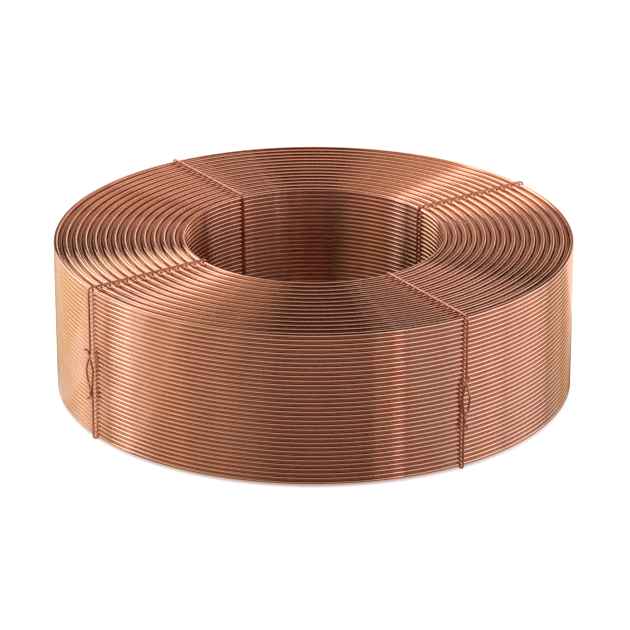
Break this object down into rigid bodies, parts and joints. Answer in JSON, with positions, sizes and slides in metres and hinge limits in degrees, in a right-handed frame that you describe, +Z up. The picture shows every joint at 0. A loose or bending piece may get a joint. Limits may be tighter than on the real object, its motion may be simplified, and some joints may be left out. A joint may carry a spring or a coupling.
{
  "type": "copper tube coil",
  "caption": "Level-wound coil of round copper tube, standing on its end with an open bore, bound round its section by twisted copper tie wires.",
  "frame": {"origin": "on the floor, at the middle of the coil, where the lower runs of the ties rest", "axes": "+Z up along the coil's axis, +Y from the picture's front to its rear"},
  "size_m": [1.0834, 1.0836, 0.3332],
  "materials": {
    "copper_tube": "bright drawn copper, satin",
    "copper_wire": "bright drawn copper wire"
  },
  "bodies": {
    "root": {"tube_coil": "copper_tube", "tie_wire_front_left": "copper_wire", "tie_wire_front_right": "copper_wire", "tie_wire_rear_left": "copper_wire", "tie_wire_rear_right": "copper_wire"}
  },
  "joints": []
}
